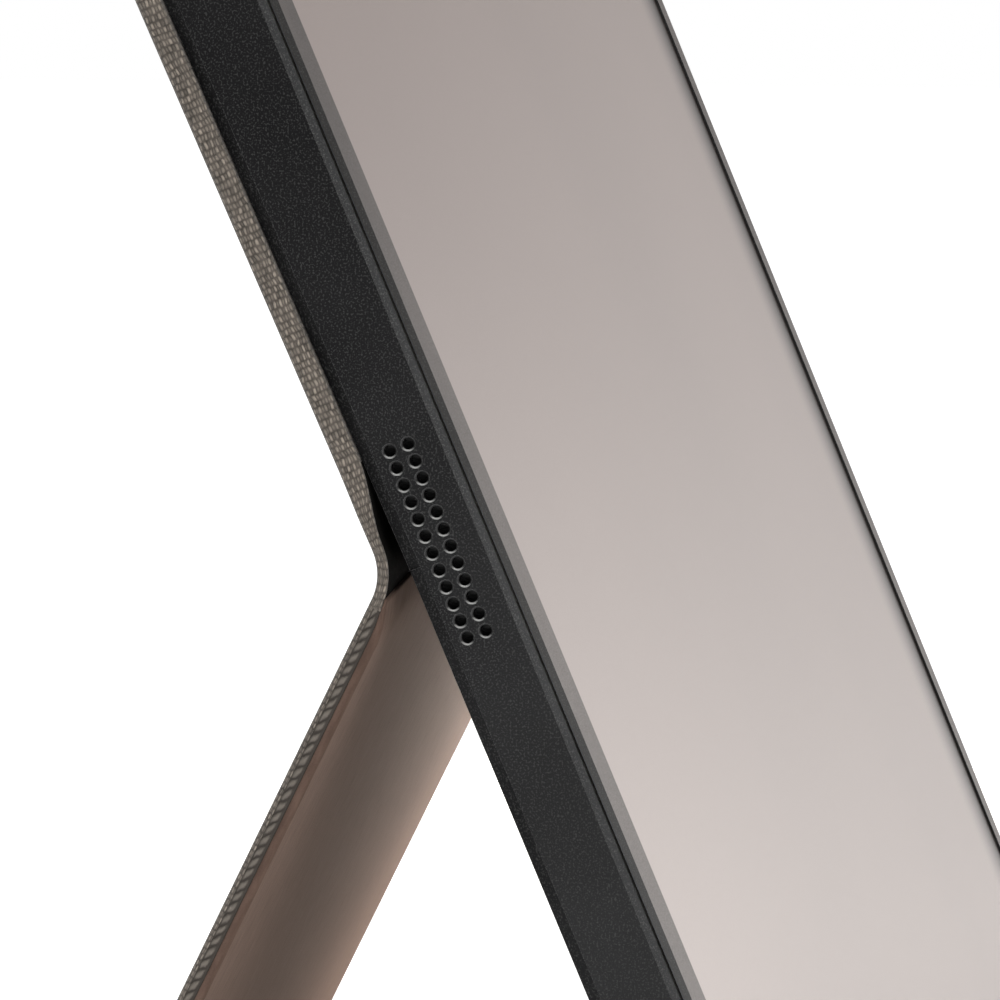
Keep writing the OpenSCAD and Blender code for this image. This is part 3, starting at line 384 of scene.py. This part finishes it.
foam = plain_stuff("closed_cell_foam", (0.02, 0.02, 0.02), 0.9, grain_mm=0.25, depth_mm=0.06)
screw_steel = plain_stuff("black_zinc", (0.05, 0.05, 0.055), 0.35, 0.9, 0.3, 0.004)
bright_steel = plain_stuff("bright_steel", (0.56, 0.56, 0.57), 0.28, 1.0, 0.5, 0.003)
magnet_nickel = plain_stuff("nickel_plate", (0.62, 0.6, 0.57), 0.22, 1.0, 0.7, 0.002)
dress(foam, "foam", "foam_strips")
dress(screw_steel, "screw_steel", "case_screws")
dress(bright_steel, "steel", "board_screws", "hinge_pins", "hinge_leaves_fixed", "hinge_leaves_moving")
dress(bright_steel, "steel", "dock_rod", "upper_steel_plate")
dress(magnet_nickel, "magnet", "case_magnets", "leg_magnets", "dock_magnets", "lid_magnets")

# ---- Buttons ---------------------------------------------------------------------------
# Three caps in the case's own plastic, moulded a little smoother, each with a flange that
# keeps it in its slot.

button_plastic = moulded("button_black_grain", (0.016, 0.016, 0.0165), 0.42, 0.12, 0.012, gloss=0.35)
dress(button_plastic, "case_plastic", "power_button", "brighter_button", "dimmer_button")

# ---- Lid board -------------------------------------------------------------------------
# A grey-board stiffener, cut square, over which the lid's cloth and lining are laminated.
# The back's two boards are of the same stuff, and are pared down at the crease.

stiff_board = plain_stuff("grey_board", (0.48, 0.45, 0.4), 0.85, grain_mm=0.6, depth_mm=0.02)
dress(stiff_board, "stiff_board", "lid_board")

# ---- Woven cover -----------------------------------------------------------------------
# One piece of taupe woven cloth runs from the top of the back, round the edges of the
# boards, through the crease and down the leg. At the crease there is no board, so it thins.

back_taper = math.radians(0.75)
leg_lean = math.radians(25.8)
cover_t = 2.5
cover_half_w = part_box("upper_skin")[1].x / mm
crease_r = 6
crease_t = 1.15
leg_cloth_t = 1.65
up_rise = (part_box("upper_skin")[1].z - crease.z) / mm
up_len = (up_rise - cover_t / 2 * math.sin(tilt + back_taper)) / math.cos(tilt + back_taper)
leg_len = (crease.z / mm - cover_t / 2) / math.cos(leg_lean)
outer_round = 1.0
inner_round = 0.3
corner_steps = 6

up = Vector((0, math.sin(tilt + back_taper), math.cos(tilt + back_taper)))
up_out = Vector((0, math.cos(tilt + back_taper), -math.sin(tilt + back_taper)))
down = Vector((0, math.sin(leg_lean), -math.cos(leg_lean)))
down_out = Vector((0, math.cos(leg_lean), math.sin(leg_lean)))


def ease(x):
    x = min(max(x, 0), 1)
    return x * x * (3 - 2 * x)


def section(half_w, thick, outer_r, inner_r):
    """Points (across, out) round a board wrapped in cloth: from its inner left corner, over the outside."""
    turns = (
        (-half_w, -thick, inner_r, 270, 180), (-half_w, 0, outer_r, 180, 90),
        (half_w, 0, outer_r, 90, 0), (half_w, -thick, inner_r, 0, -90),
    )
    points = []
    for x, y, r, first, last in turns:
        # thin cloth has a tighter rounded edge
        r = min(max(r, 0.02), 0.55 + max(0, thick - leg_cloth_t) * 0.53, thick * 0.85)
        middle = (x - math.copysign(r, x), y + r if y < 0 else y - r)
        for k in range(corner_steps + 1):
            a = math.radians(first + (last - first) * k / corner_steps)
            points.append((middle[0] + r * math.cos(a), middle[1] + r * math.sin(a)))
    return points


def wrapped(name, stations, half_w, outer_r, inner_r):
    """A closed shell swept along stations of (point on the outside, outward normal, thickness, end inset).
    Its cloth map holds millimetres round the section and along the sweep, so a weave keeps its real size."""
    mesh = bpy.data.meshes.new(name)
    form = bmesh.new()
    cloth = form.loops.layers.uv.new("cloth")
    hoops = []
    along = 0.0
    last_point = None
    for point, out, thick, inset in stations:
        outline = section(half_w - inset, thick - 2 * inset, outer_r - inset, inner_r - inset * 0.2)
        if last_point is not None:
            along += (point - last_point).length / mm
        last_point = point
        places = [point + Vector((x * mm, 0, 0)) + out * ((y - inset) * mm) for x, y in outline]
        hoops.append(([form.verts.new(p) for p in places], along))
    outline = section(half_w, stations[len(stations) // 4][2], outer_r, inner_r)
    rounds = [0.0]
    for a, b in zip(outline, outline[1:] + outline[:1]):
        rounds.append(rounds[-1] + math.dist(a, b))
    for (hoop_a, v_a), (hoop_b, v_b) in zip(hoops, hoops[1:]):
        for k in range(len(outline)):
            n = (k + 1) % len(outline)
            face = form.faces.new((hoop_a[k], hoop_b[k], hoop_b[n], hoop_a[n]))
            face.smooth = True
            corners = ((rounds[k], v_a), (rounds[k], v_b), (rounds[k + 1], v_b), (rounds[k + 1], v_a))
            for loop, corner in zip(face.loops, corners):
                loop[cloth].uv = corner
    for hoop, _ in (hoops[0], hoops[-1]):
        face = form.faces.new(hoop)
        for loop in face.loops:
            loop[cloth].uv = (loop.vert.co.x / mm, loop.vert.co.z / mm)
    bmesh.ops.recalc_face_normals(form, faces=form.faces)
    form.to_mesh(mesh)
    form.free()
    piece = bpy.data.objects.new(name, mesh)
    bpy.context.scene.collection.objects.link(piece)
    return piece


def clad(piece, slot, *materials):
    """Gives a modelled piece its finish."""
    for material in materials:
        piece.data.materials.append(material)


def rounded_end(r, steps=6):
    """How far in from the end, and how much narrower, each step of a rounded end is."""
    turns = [math.pi / 2 * k / steps for k in range(steps + 1)]
    return [(r * (1 - math.cos(turn)), r * (1 - math.sin(turn))) for turn in turns]


def station(run, out, reach, thick, inset=0):
    """A station of the sweep, reach millimetres from the crease along a panel."""
    return crease + (run * reach + out * (cover_t / 2)) * mm, out, thick, inset


back_thinning = (3.0, 12.5)
leg_thinning = (0.5, 7.0)


def cloth_thickness(reach, full, thinning):
    """How thick the cloth and what it is glued to are, at a distance from the crease."""
    return crease_t + (full - crease_t) * ease((abs(reach) - thinning[0]) / (thinning[1] - thinning[0]))


def back_stations():
    """From the top end of the back panel, through the crease, to the nose of the leg."""
    half_turn = (tilt + leg_lean + back_taper) / 2
    tangent = (crease_r + cover_t / 2) * math.tan(half_turn)
    bisector = (up_out + down_out).normalized()
    across = Vector((0, bisector.z, -bisector.y))
    centre = crease + bisector * ((crease_r + cover_t / 2) / math.cos(half_turn) * mm)
    # the steps are finer from here to the crease, where the cloth thins
    fine_above = 14
    fine_below = 12
    nose = cover_t / 2
    nose_swell = 0.9
    tip_half = 0.03
    stations = []
    for back, inset in rounded_end(outer_round):
        stations.append(station(up, up_out, up_len - back, cover_t, inset))
    for k in range(1, 21):
        reach = up_len - outer_round - (up_len - outer_round - fine_above) * k / 20
        stations.append(station(up, up_out, reach, cover_t))
    for k in range(1, 15):
        reach = fine_above - (fine_above - tangent) * k / 15
        stations.append(station(up, up_out, reach, cloth_thickness(reach, cover_t, back_thinning)))
    for k in range(-12, 13):
        turn = half_turn * k / 12
        out = (bisector * math.cos(turn) + across * -math.sin(turn)).normalized()
        on_leg = out.dot(down_out) > out.dot(up_out)
        full, thinning = (leg_cloth_t, leg_thinning) if on_leg else (cover_t, back_thinning)
        thick = cloth_thickness(crease_r * turn, full, thinning)
        stations.append((centre - out * (crease_r * mm), out, thick, 0))
    for k in range(1, 16):
        reach = tangent + (fine_below - tangent) * k / 15
        stations.append(station(down, down_out, reach, cloth_thickness(reach, leg_cloth_t, leg_thinning)))
    for k in range(1, 21):
        reach = fine_below + (leg_len - fine_below) * k / 20
        thick = leg_cloth_t + (cover_t - leg_cloth_t) * ease((reach - leg_len + nose_swell) / nose_swell)
        stations.append(station(down, down_out, reach, thick))
    for back, inset in reversed(rounded_end(nose)[:-1]):
        stations.append(station(down, down_out, leg_len + nose - back, cover_t, min(inset, nose - tip_half)))
    return stations


def cloth_noise(tree, cloth, per_mm, detail):
    return put(tree, "ShaderNodeTexNoise", {"Vector": cloth, "Scale": per_mm, "Detail": detail}).outputs


def weave(name, light, dark, thread_w, thread_l, depth_mm):
    """Plain weave: pillows in a checker, the warp's longer than they are wide, painted lighter on the pillows
    and darker in the hollows (painted highlight and shade).
    """
    material, tree, surface = start_finish(name, light, 0.78)
    cloth = put(tree, "ShaderNodeUVMap", uv_map="cloth").outputs[0]
    wander = vector_sums(tree, "SUBTRACT", cloth_noise(tree, cloth, 0.35, 2.0)[1], (0.5, 0.5, 0.5))[0]
    moved = vector_sums(tree, "ADD", cloth, scaled(tree, wander, 0.9))[0]
    place = put(tree, "ShaderNodeSeparateXYZ", {0: moved}).outputs
    across = sums(tree, "SINE", sums(tree, "MULTIPLY", place[0], math.pi / thread_w))
    along = sums(tree, "SINE", sums(tree, "MULTIPLY", place[1], math.pi / thread_l))
    checker = sums(tree, "MULTIPLY", across, along)
    pillow = sums(tree, "POWER", sums(tree, "ABSOLUTE", checker), 0.55)
    warp = ramp(tree, checker, -0.06, 0.06, 0.55, 1.0)
    height = sums(tree, "MULTIPLY", pillow, warp)
    fibre = cloth_noise(tree, cloth, 9.0, 3.0)[0]
    full = sums(tree, "ADD", height, sums(tree, "MULTIPLY", fibre, 0.35))
    # lighter on the pillows, darker in the hollows between them: painted highlight and shade
    pillow_light_and_shade = two_tone(tree, ramp(tree, full, 0.35, 1.15), dark, light)
    cell = put(tree, "ShaderNodeCombineXYZ", {
        0: sums(tree, "FLOOR", sums(tree, "MULTIPLY", place[0], 1 / thread_w)),
        1: sums(tree, "FLOOR", sums(tree, "MULTIPLY", place[1], 1 / thread_l)),
    }).outputs[0]
    uneven = put(tree, "ShaderNodeTexWhiteNoise", {"Vector": cell}).outputs[0]
    pillow_light_and_shade = scaled(tree, pillow_light_and_shade, ramp(tree, uneven, 0, 1, 0.68, 1.24))
    patch = ramp(tree, cloth_noise(tree, cloth, 0.9, 1.0)[0], 0.35, 0.65, 0.0, 0.3)
    tree.links.new(two_tone(tree, patch, pillow_light_and_shade, (0.165, 0.14, 0.118)), surface.inputs["Base Color"])
    surface.inputs["Sheen Weight"].default_value = 0.15
    surface.inputs["Sheen Roughness"].default_value = 0.5
    surface.inputs["Specular IOR Level"].default_value = 0.25
    relief(tree, surface, full, depth_mm)
    return material


edge_flat = cover_t - inner_round - outer_round
edge_middle = cover_half_w - outer_round + outer_round * math.pi / 2 + edge_flat / 2
outside_middle = edge_middle + inner_round * math.pi / 2 + edge_flat / 2


def whipped(name, light, dark, pitch, slant):
    """The leg's cut edge, closed with slanting stitches that stand side by side like the beads of a cord. The
    stitches are painted darker than the cloth, and darker still between the beads: painted shade.
    """
    material, tree, surface = start_finish(name, light, 0.8)
    cloth = put(tree, "ShaderNodeUVMap", uv_map="cloth").outputs[0]
    wander = cloth_noise(tree, cloth, 0.8, 2.0)[0]
    place = put(tree, "ShaderNodeSeparateXYZ", {0: cloth}).outputs
    from_middle = sums(tree, "ABSOLUTE", sums(tree, "SUBTRACT", place[0], outside_middle))
    across = sums(tree, "MULTIPLY", sums(tree, "SUBTRACT", from_middle, edge_middle), 2 / edge_flat)
    along = sums(tree, "MULTIPLY", place[1], 1 / pitch)
    turns = sums(tree, "ADD", along, sums(tree, "MULTIPLY", across, slant))
    turns = sums(tree, "ADD", turns, sums(tree, "MULTIPLY", wander, 0.6))
    strand = sums(tree, "ABSOLUTE", sums(tree, "SINE", sums(tree, "MULTIPLY", turns, math.pi)))
    round_off = ramp(tree, sums(tree, "ABSOLUTE", across), 0.35, 1.2, 1.0, 0.15)
    fibre = cloth_noise(tree, cloth, 7.0, 3.0)[0]
    full = sums(tree, "ADD", sums(tree, "MULTIPLY", strand, round_off), sums(tree, "MULTIPLY", fibre, 0.5))
    # darker between the beads and towards the band's edges: painted shade
    tree.links.new(two_tone(tree, ramp(tree, full, 0.35, 1.3), dark, light), surface.inputs["Base Color"])
    surface.inputs["Specular IOR Level"].default_value = 0.15
    relief(tree, surface, full, 0.2)
    return material


taupe_weave = weave("taupe_weave", (0.236, 0.202, 0.167), (0.055, 0.046, 0.038), 0.33, 0.71, 0.12)
# the stitches' tones are darker than the cloth's: painted shade
edge_stitch = whipped("whipped_edge", (0.14, 0.123, 0.106), (0.04, 0.034, 0.029), 1.32, 0.35)
stitch_from = 4

back_cloth = wrapped("back_cloth", back_stations(), cover_half_w, outer_round, inner_round)
clad(back_cloth, "woven_skin", taupe_weave, edge_stitch)
for face in back_cloth.data.polygons:
    from_crease = face.center - crease
    depth = cover_t / 2 * mm - from_crease.dot(down_out)
    if abs(face.normal.x) > 0.3 and depth > 0.5 * mm and from_crease.dot(down) > stitch_from * mm:
        face.material_index = 1
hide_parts("upper_skin", "crease_skin", "leg_skin")
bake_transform(back_cloth)

# ---- Back boards -----------------------------------------------------------------------
# Grey boards lie between the cloth and the lining, in the upper panel and in the leg. They
# are skived towards the crease, so that the cover thins there, and the cloth is glued on.


def skived_board(name, run, out, last, full, thinning):
    """A board that starts a little off the crease and is pared down towards it."""
    board_from = 3.8
    board_out = 0.6
    board_t = 1.4
    least_t = 0.25
    stations = []
    for k in range(25):
        reach = board_from + (last - board_from) * (k / 24) ** 1.5
        thick = min(board_t, cloth_thickness(reach, full, thinning) - board_out - 0.15)
        point = crease + (run * reach + out * (cover_t / 2 - board_out)) * mm
        stations.append((point, out, max(thick, least_t), 0))
    piece = wrapped(name, stations, cover_half_w - 1, 0.05, 0.05)
    clad(piece, "stiff_board", stiff_board)
    return piece


board_inset = 1.2
upper_stiffener = skived_board("upper_stiffener", up, up_out, up_len - board_inset, cover_t, back_thinning)
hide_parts("upper_board")
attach(upper_stiffener, "monitor")
leg_stiffener = skived_board("leg_stiffener", down, down_out, leg_len - board_inset, cover_t, leg_thinning)
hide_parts("leg_board")
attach(leg_stiffener, "leg")

# ---- Linings ---------------------------------------------------------------------------
# Brown suede microfibre is glued inside each panel, flush with the turned edge of the
# cloth. A near-black band bridges the crease: painted shade for the shadowed inside of the crease.


def suede(name, colour, deep):
    """Suede microfibre: soft nap with faint brushed streaks and a sheen at low angles."""
    material, tree, surface = start_finish(name, colour, 0.85)
    cloth = put(tree, "ShaderNodeUVMap", uv_map="cloth").outputs[0]
    nap = cloth_noise(tree, cloth, 5.0, 3.0)[0]
    brushed = put(tree, "ShaderNodeMapping", {"Vector": cloth, "Scale": (1.2, 0.25, 1)}).outputs[0]
    streak = cloth_noise(tree, brushed, 1.0, 3.0)[0]
    streak = sums(tree, "ADD", streak, sums(tree, "MULTIPLY", nap, 0.3))
    tree.links.new(two_tone(tree, ramp(tree, streak, 0.45, 0.85), deep, colour), surface.inputs["Base Color"])
    surface.inputs["Sheen Weight"].default_value = 0.125
    surface.inputs["Sheen Roughness"].default_value = 0.5
    surface.inputs["Sheen Tint"].default_value = (1.0, 0.74, 0.6, 1)
    surface.inputs["Specular IOR Level"].default_value = 0.014
    relief(tree, surface, nap, 0.02)
    return material


lining_t = 0.3
lining_half_w = cover_half_w - 0.55
suede_brown = suede("suede_lining", (0.099, 0.065, 0.051), (0.069, 0.045, 0.035))


def lining(name, run, out, first, last, under_full, thinning, half_w, edge_r):
    """A lining from first to last millimetres along a panel, which makes up what the cloth leaves of its
    thickness. It is sunk a little into the cloth below and stands a little proud of the turned edge."""
    sunk = 0.03
    proud = 0.02
    stations = []
    for k in range(37):
        reach = first + (last - first) * (k / 36) ** 1.6
        whole = cloth_thickness(reach, cover_t, thinning)
        under = cloth_thickness(reach, under_full, thinning) - sunk
        point = crease + (run * reach + out * (cover_t / 2 - under)) * mm
        stations.append((point, out, whole - under + proud, 0))
    piece = wrapped(name, stations, half_w, 0.05, edge_r)
    clad(piece, "suede_lining", suede_brown)
    return piece


upper_from = 11.5
upper_to = up_len - 0.6
upper_half_w = lining_half_w - 1.2
upper_suede = lining(
    "upper_suede", up, up_out, upper_from, upper_to, cover_t - lining_t, back_thinning, upper_half_w, 0.1,
)
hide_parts("upper_lining")
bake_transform(upper_suede)

# on the leg the lining is padded, and rolls over the edge to meet the cloth
leg_from = 2.5
leg_to = leg_len - 0.9
leg_suede = lining(
    "leg_suede", down, down_out, leg_from, leg_to, leg_cloth_t, leg_thinning, cover_half_w - 0.04, 0.7,
)
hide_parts("leg_lining")
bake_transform(leg_suede)

# near black: painted shade for the shadowed inside of the crease
crease_shade_black = plain_stuff(
    "crease_painted_shade", (0.006, 0.0055, 0.005), 0.95, grain_mm=0.3, depth_mm=0.05, gloss=0.05,
)
band_above = 12
band_below = 3.2
band_t = 0.14
band_sunk = 0.1
band_stations = [
    (point - out * ((thick - band_sunk) * mm), out, band_t, 0)
    for point, out, thick, inset in back_stations()
    if -band_below * mm < (point - crease).dot(up) < band_above * mm
    and (point - crease).dot(down) < band_below * mm
]
crease_shade_piece = wrapped("crease_shade_strip", band_stations, lining_half_w, 0.05, 0.1)
clad(crease_shade_piece, "crease_band", crease_shade_black)
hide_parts("crease_band")
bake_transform(crease_shade_piece)

# ---- Front lid -------------------------------------------------------------------------
# The lid is the same cloth over a third board. It hangs on a rod in the dock bar by a soft
# strip, and lies flat on the table in front of the screen.

rod = joint_place("lid_hinge")
lid_crease = 5.0
lid_tail = 1.2
lid_strip_t = 1.05
lid_strip_up = 2.02
lid_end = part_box("lid_skin")[0].y
table_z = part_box("lid_skin")[0].z


def lid_stations():
    """From behind the rod, down the soft strip, to the front end of the lid."""
    below = Vector((0, 0, -1))
    tail = Vector((0, rod.y + lid_tail * mm, table_z + lid_strip_up * mm))
    stations = [(tail, below, lid_strip_t, 0)]
    for k in range(17):
        share = k / 16
        drop = lid_strip_up * (1 - ease(share))
        slope = lid_strip_up * 6 * share * (1 - share) / lid_crease
        point = Vector((0, rod.y - lid_crease * share * mm, table_z + drop * mm))
        thick = lid_strip_t + (cover_t - lid_strip_t) * ease((share - 0.45) / 0.55)
        stations.append((point, Vector((0, slope, -1)).normalized(), thick, 0))
    front = rod.y - lid_crease * mm
    for k in range(1, 21):
        y = front + (lid_end + outer_round * mm - front) * k / 20
        stations.append((Vector((0, y, table_z)), below, cover_t, 0))
    for back, inset in reversed(rounded_end(outer_round)[:-1]):
        stations.append((Vector((0, lid_end + back * mm, table_z)), below, cover_t, inset))
    return stations


lid_cloth = wrapped("lid_cloth", lid_stations(), cover_half_w, outer_round, inner_round)
clad(lid_cloth, "woven_skin", taupe_weave)
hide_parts("lid_skin", "lid_crease_skin")
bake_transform(lid_cloth)

lid_lining_stations = [
    (point - out * ((thick - lining_t) * mm), out, lining_t + 0.05, 0)
    for point, out, thick, inset in lid_stations() if inset == 0
]
lid_suede = wrapped("lid_suede", lid_lining_stations, lining_half_w, 0.05, 0.1)
clad(lid_suede, "suede_lining", suede_brown)
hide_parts("lid_lining", "lid_crease_lining")
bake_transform(lid_suede)

# ---- Feet ------------------------------------------------------------------------------
# Two long round-backed rubber strips, pressed into grooves under the dock bar.

foot_rubber = plain_stuff("foot_rubber", (0.018, 0.018, 0.018), 0.75, grain_mm=0.2, depth_mm=0.02)
dress(foot_rubber, "foot_rubber", "dock_feet")

# ---- Table, backdrop and light ---------------------------------------------------------
# A pale table runs into a white background, in a room that is greyer towards its ceiling. A
# wide lamp hangs overhead, one stands front left, a small one low beside the case, and two
# warmer ones on the far side light the screen's face and the inside of the leg.


def seen_directly(tree):
    """One for camera, mirror and glass rays, which see the white backdrop, and nothing for soft light."""
    path = put(tree, "ShaderNodeLightPath")
    seen = sums(tree, "MAXIMUM", path.outputs["Is Camera Ray"], path.outputs["Is Glossy Ray"])
    return path, sums(tree, "MAXIMUM", seen, path.outputs["Is Transmission Ray"])


pale_table, tree, surface = start_finish("pale_table", (0.8, 0.8, 0.8), 0.7)
glow = put(tree, "ShaderNodeEmission", {"Color": (1, 1, 1, 1), "Strength": 0.95})
matt = put(tree, "ShaderNodeBsdfDiffuse", {"Color": (0.3, 0.3, 0.3, 1)})
white = put(tree, "ShaderNodeAddShader", {0: glow.outputs[0], 1: matt.outputs[0]})
_, seen = seen_directly(tree)
choice = put(tree, "ShaderNodeMixShader", {0: seen, 1: surface.outputs[0], 2: white.outputs[0]})
tree.links.new(choice.outputs[0], tree.nodes["Material Output"].inputs[0])
half = 3.0
just_under = -0.0002
table_mesh = bpy.data.meshes.new("table")
table_corners = [(x, y, just_under) for x, y in ((-half, -half), (half, -half), (half, half), (-half, half))]
table_mesh.from_pydata(table_corners, [], [(0, 1, 2, 3)])
table_mesh.materials.append(pale_table)
table = bpy.data.objects.new("table", table_mesh)
bpy.context.scene.collection.objects.link(table)

room = bpy.data.worlds.new("white_room")
room.use_nodes = True
tree = room.node_tree
backdrop = tree.nodes["Background"]
path, seen = seen_directly(tree)
direction = put(tree, "ShaderNodeTexCoord").outputs["Generated"]
height = put(tree, "ShaderNodeSeparateXYZ", {0: direction}).outputs[2]
walls = ramp(tree, height, -0.05, 0.24, 1.0, 0.45)
shown = sums(tree, "MAXIMUM", walls, path.outputs["Is Camera Ray"])
soft_level = 0.5
level = put(tree, "ShaderNodeMix", {0: seen, 2: soft_level, 3: shown}).outputs[0]
tree.links.new(level, backdrop.inputs["Strength"])
backdrop.inputs["Color"].default_value = (1, 1, 1, 1)
bpy.context.scene.world = room


def soft_lamp(name, place, aim, size, watts, tint=(1, 1, 1)):
    lamp = bpy.data.lights.new(name, "AREA")
    lamp.color = tint
    lamp.shape = "SQUARE"
    lamp.size = size
    lamp.energy = watts
    rig = bpy.data.objects.new(name, lamp)
    rig.location = place
    rig.rotation_euler = (Vector(aim) - Vector(place)).to_track_quat("-Z", "Y").to_euler()
    rig.visible_camera = False
    bpy.context.scene.collection.objects.link(rig)


soft_lamp("far_side_lamp", (0.62, -0.42, 0.12), (0.16, 0.15, 0.08), 0.35, 2.35, (1, 0.92, 0.87))
soft_lamp("behind_screen_lamp", (0.40, 0.125, 0.035), (0.02, 0.14, 0.07), 0.07, 1.05, (1, 0.9, 0.83))
soft_lamp("overhead_lamp", (-0.1, 0.3, 1.5), (0, 0.05, 0.1), 1.2, 14)
soft_lamp("front_left_lamp", (-1.0, -0.68, 0.3), (-0.16, 0.1, 0.1), 0.6, 5.5)
soft_lamp("low_side_lamp", (-0.45, 0.11, 0.02), (-0.16, 0.06, 0.05), 0.05, 0.38)

bpy.context.scene.view_settings.view_transform = "Standard"
